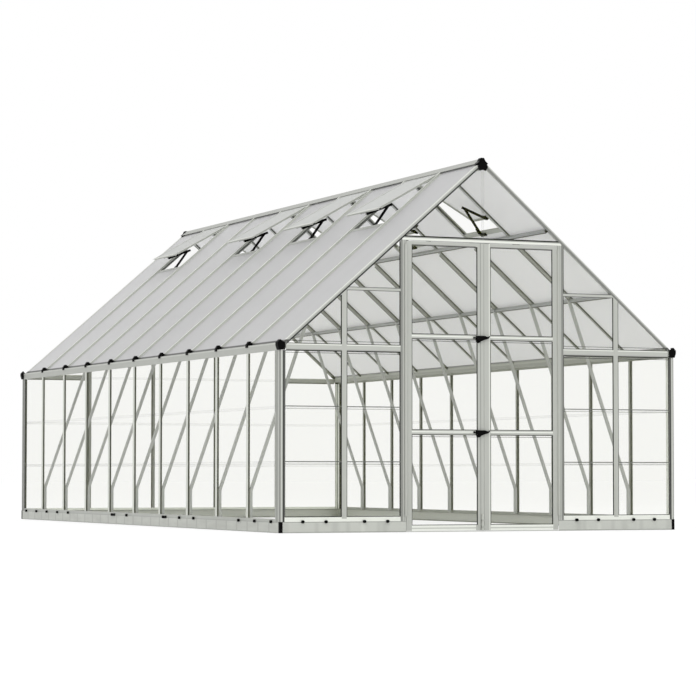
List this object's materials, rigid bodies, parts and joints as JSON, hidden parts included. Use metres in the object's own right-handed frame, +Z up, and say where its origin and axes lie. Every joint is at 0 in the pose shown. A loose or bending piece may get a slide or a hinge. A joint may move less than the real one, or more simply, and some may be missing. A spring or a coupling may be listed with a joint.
{
  "type": "greenhouse",
  "caption": "Gabled walk-in greenhouse of aluminium glazing bars on a steel base, with clear walls, translucent roof sheets, double outward doors and hinged roof vents with openers.",
  "frame": {"origin": "centre of the footprint, on the ground under the base", "axes": "+Y along the ridge towards the back gable, +X to the right seen from the door, +Z up"},
  "size_m": [3.088, 6.1706, 2.6065],
  "materials": {
    "galvanised_steel": "galvanised, matt",
    "mill_aluminium": "mill finish, satin",
    "black_plastic": "moulded, matt",
    "clear_sheet": "clear sheet",
    "twin_wall_sheet": "translucent twin-wall sheet",
    "joint_strip": "clear extruded strip",
    "bright_steel": "zinc plated"
  },
  "bodies": {
    "structure": {"base_rails": "galvanised_steel", "bottom_rails": "mill_aluminium", "corner_posts": "mill_aluminium", "wall_posts": "mill_aluminium", "eave_beams": "mill_aluminium", "rafters": "mill_aluminium", "inner_braces": "mill_aluminium", "purlins": "mill_aluminium", "ridge_beam": "mill_aluminium", "gable_transoms": "mill_aluminium", "door_frame": "mill_aluminium", "vent_sills": "mill_aluminium", "base_caps": "black_plastic", "roof_end_caps": "black_plastic", "vent_brackets": "black_plastic", "side_wall_panels": "clear_sheet", "gable_panels": "clear_sheet", "roof_panels": "twin_wall_sheet", "panel_strips": "joint_strip"},
    "door_left": {"door_leaf_left_frame": "mill_aluminium", "door_leaf_left_panels": "clear_sheet", "latch_bodies": "black_plastic"},
    "door_right": {"door_leaf_right_frame": "mill_aluminium", "door_leaf_right_panels": "clear_sheet", "latch_keepers": "black_plastic"},
    "upper_bolt": {"upper_latch_bolt": "black_plastic"},
    "lower_bolt": {"lower_latch_bolt": "black_plastic"},
    "drop_bolt_rod": {"drop_bolt": "bright_steel"},
    "vent_1_flap": {"vent_1_frame": "mill_aluminium", "vent_1_panel": "twin_wall_sheet"},
    "vent_1_lower_link": {"vent_1_lower_arm": "black_plastic"},
    "vent_1_upper_link": {"vent_1_upper_arm": "black_plastic"},
    "vent_2_flap": {"vent_2_frame": "mill_aluminium", "vent_2_panel": "twin_wall_sheet"},
    "vent_2_lower_link": {"vent_2_lower_arm": "black_plastic"},
    "vent_2_upper_link": {"vent_2_upper_arm": "black_plastic"},
    "vent_3_flap": {"vent_3_frame": "mill_aluminium", "vent_3_panel": "twin_wall_sheet"},
    "vent_3_lower_link": {"vent_3_lower_arm": "black_plastic"},
    "vent_3_upper_link": {"vent_3_upper_arm": "black_plastic"},
    "vent_4_flap": {"vent_4_frame": "mill_aluminium", "vent_4_panel": "twin_wall_sheet"},
    "vent_4_lower_link": {"vent_4_lower_arm": "black_plastic"},
    "vent_4_upper_link": {"vent_4_upper_arm": "black_plastic"},
    "vent_5_flap": {"vent_5_frame": "mill_aluminium", "vent_5_panel": "twin_wall_sheet"},
    "vent_5_lower_link": {"vent_5_lower_arm": "black_plastic"},
    "vent_5_upper_link": {"vent_5_upper_arm": "black_plastic"},
    "vent_6_flap": {"vent_6_frame": "mill_aluminium", "vent_6_panel": "twin_wall_sheet"},
    "vent_6_lower_link": {"vent_6_lower_arm": "black_plastic"},
    "vent_6_upper_link": {"vent_6_upper_arm": "black_plastic"},
    "vent_7_flap": {"vent_7_frame": "mill_aluminium", "vent_7_panel": "twin_wall_sheet"},
    "vent_7_lower_link": {"vent_7_lower_arm": "black_plastic"},
    "vent_7_upper_link": {"vent_7_upper_arm": "black_plastic"},
    "vent_8_flap": {"vent_8_frame": "mill_aluminium", "vent_8_panel": "twin_wall_sheet"},
    "vent_8_lower_link": {"vent_8_lower_arm": "black_plastic"},
    "vent_8_upper_link": {"vent_8_upper_arm": "black_plastic"}
  },
  "joints": [
    {"name": "door_left_hinge", "type": "hinge", "parent": "structure", "child": "door_left", "pos_m": [-0.59, -3.077, 1], "axis": [0, 0, -1], "range_deg": [0, 110]},
    {"name": "door_right_hinge", "type": "hinge", "parent": "structure", "child": "door_right", "pos_m": [0.59, -3.077, 1], "axis": [0, 0, 1], "range_deg": [0, 110]},
    {"name": "upper_bolt_slide", "type": "slide", "parent": "door_left", "child": "upper_bolt", "axis": [1, 0, 0], "range_m": [0, 0.0115]},
    {"name": "lower_bolt_slide", "type": "slide", "parent": "door_left", "child": "lower_bolt", "axis": [1, 0, 0], "range_m": [0, 0.0115]},
    {"name": "drop_bolt_slide", "type": "slide", "parent": "door_left", "child": "drop_bolt_rod", "axis": [0, 0, 1], "range_m": [0, 0.04]},
    {"name": "vent_1_hinge", "type": "hinge", "parent": "structure", "child": "vent_1_flap", "pos_m": [-0.01511, -2.149, 2.57689], "axis": [0, 1, 0], "range_deg": [-11.5, 0]},
    {"name": "vent_1_foot_pivot", "type": "hinge", "parent": "structure", "child": "vent_1_lower_link", "pos_m": [-0.43323, -2.149, 2.17378], "axis": [0, 1, 0], "range_deg": [0, 13.18]},
    {"name": "vent_1_head_pivot", "type": "hinge", "parent": "vent_1_flap", "child": "vent_1_upper_link", "pos_m": [-0.48131, -2.149, 2.27986], "axis": [0, 1, 0], "range_deg": [-8.15, 0]},
    {"name": "vent_2_hinge", "type": "hinge", "parent": "structure", "child": "vent_2_flap", "pos_m": [-0.01511, -0.921, 2.57689], "axis": [0, 1, 0], "range_deg": [-11.5, 0]},
    {"name": "vent_2_foot_pivot", "type": "hinge", "parent": "structure", "child": "vent_2_lower_link", "pos_m": [-0.43323, -0.921, 2.17378], "axis": [0, 1, 0], "range_deg": [0, 13.18]},
    {"name": "vent_2_head_pivot", "type": "hinge", "parent": "vent_2_flap", "child": "vent_2_upper_link", "pos_m": [-0.48131, -0.921, 2.27986], "axis": [0, 1, 0], "range_deg": [-8.15, 0]},
    {"name": "vent_3_hinge", "type": "hinge", "parent": "structure", "child": "vent_3_flap", "pos_m": [-0.01511, 0.307, 2.57689], "axis": [0, 1, 0], "range_deg": [-11.5, 0]},
    {"name": "vent_3_foot_pivot", "type": "hinge", "parent": "structure", "child": "vent_3_lower_link", "pos_m": [-0.43323, 0.307, 2.17378], "axis": [0, 1, 0], "range_deg": [0, 13.18]},
    {"name": "vent_3_head_pivot", "type": "hinge", "parent": "vent_3_flap", "child": "vent_3_upper_link", "pos_m": [-0.48131, 0.307, 2.27986], "axis": [0, 1, 0], "range_deg": [-8.15, 0]},
    {"name": "vent_4_hinge", "type": "hinge", "parent": "structure", "child": "vent_4_flap", "pos_m": [-0.01511, 2.149, 2.57689], "axis": [0, 1, 0], "range_deg": [-11.5, 0]},
    {"name": "vent_4_foot_pivot", "type": "hinge", "parent": "structure", "child": "vent_4_lower_link", "pos_m": [-0.43323, 2.149, 2.17378], "axis": [0, 1, 0], "range_deg": [0, 13.18]},
    {"name": "vent_4_head_pivot", "type": "hinge", "parent": "vent_4_flap", "child": "vent_4_upper_link", "pos_m": [-0.48131, 2.149, 2.27986], "axis": [0, 1, 0], "range_deg": [-8.15, 0]},
    {"name": "vent_5_hinge", "type": "hinge", "parent": "structure", "child": "vent_5_flap", "pos_m": [0.01511, -2.149, 2.57689], "axis": [0, -1, 0], "range_deg": [-11.5, 0]},
    {"name": "vent_5_foot_pivot", "type": "hinge", "parent": "structure", "child": "vent_5_lower_link", "pos_m": [0.43323, -2.149, 2.17378], "axis": [0, -1, 0], "range_deg": [0, 13.18]},
    {"name": "vent_5_head_pivot", "type": "hinge", "parent": "vent_5_flap", "child": "vent_5_upper_link", "pos_m": [0.48131, -2.149, 2.27986], "axis": [0, -1, 0], "range_deg": [-8.15, 0]},
    {"name": "vent_6_hinge", "type": "hinge", "parent": "structure", "child": "vent_6_flap", "pos_m": [0.01511, -0.921, 2.57689], "axis": [0, -1, 0], "range_deg": [-11.5, 0]},
    {"name": "vent_6_foot_pivot", "type": "hinge", "parent": "structure", "child": "vent_6_lower_link", "pos_m": [0.43323, -0.921, 2.17378], "axis": [0, -1, 0], "range_deg": [0, 13.18]},
    {"name": "vent_6_head_pivot", "type": "hinge", "parent": "vent_6_flap", "child": "vent_6_upper_link", "pos_m": [0.48131, -0.921, 2.27986], "axis": [0, -1, 0], "range_deg": [-8.15, 0]},
    {"name": "vent_7_hinge", "type": "hinge", "parent": "structure", "child": "vent_7_flap", "pos_m": [0.01511, 0.307, 2.57689], "axis": [0, -1, 0], "range_deg": [-11.5, 0]},
    {"name": "vent_7_foot_pivot", "type": "hinge", "parent": "structure", "child": "vent_7_lower_link", "pos_m": [0.43323, 0.307, 2.17378], "axis": [0, -1, 0], "range_deg": [0, 13.18]},
    {"name": "vent_7_head_pivot", "type": "hinge", "parent": "vent_7_flap", "child": "vent_7_upper_link", "pos_m": [0.48131, 0.307, 2.27986], "axis": [0, -1, 0], "range_deg": [-8.15, 0]},
    {"name": "vent_8_hinge", "type": "hinge", "parent": "structure", "child": "vent_8_flap", "pos_m": [0.01511, 2.149, 2.57689], "axis": [0, -1, 0], "range_deg": [-11.5, 0]},
    {"name": "vent_8_foot_pivot", "type": "hinge", "parent": "structure", "child": "vent_8_lower_link", "pos_m": [0.43323, 2.149, 2.17378], "axis": [0, -1, 0], "range_deg": [0, 13.18]},
    {"name": "vent_8_head_pivot", "type": "hinge", "parent": "vent_8_flap", "child": "vent_8_upper_link", "pos_m": [0.48131, 2.149, 2.27986], "axis": [0, -1, 0], "range_deg": [-8.15, 0]}
  ],
  "couplings": [
    {"joint": "vent_1_foot_pivot", "follows": "vent_1_hinge", "ratio": -1.145},
    {"joint": "vent_1_head_pivot", "follows": "vent_1_hinge", "ratio": 0.70733},
    {"joint": "vent_2_foot_pivot", "follows": "vent_2_hinge", "ratio": -1.145},
    {"joint": "vent_2_head_pivot", "follows": "vent_2_hinge", "ratio": 0.70733},
    {"joint": "vent_3_foot_pivot", "follows": "vent_3_hinge", "ratio": -1.145},
    {"joint": "vent_3_head_pivot", "follows": "vent_3_hinge", "ratio": 0.70733},
    {"joint": "vent_4_foot_pivot", "follows": "vent_4_hinge", "ratio": -1.145},
    {"joint": "vent_4_head_pivot", "follows": "vent_4_hinge", "ratio": 0.70733},
    {"joint": "vent_5_foot_pivot", "follows": "vent_5_hinge", "ratio": -1.145},
    {"joint": "vent_5_head_pivot", "follows": "vent_5_hinge", "ratio": 0.70733},
    {"joint": "vent_6_foot_pivot", "follows": "vent_6_hinge", "ratio": -1.145},
    {"joint": "vent_6_head_pivot", "follows": "vent_6_hinge", "ratio": 0.70733},
    {"joint": "vent_7_foot_pivot", "follows": "vent_7_hinge", "ratio": -1.145},
    {"joint": "vent_7_head_pivot", "follows": "vent_7_hinge", "ratio": 0.70733},
    {"joint": "vent_8_foot_pivot", "follows": "vent_8_hinge", "ratio": -1.145},
    {"joint": "vent_8_head_pivot", "follows": "vent_8_hinge", "ratio": 0.70733}
  ]
}
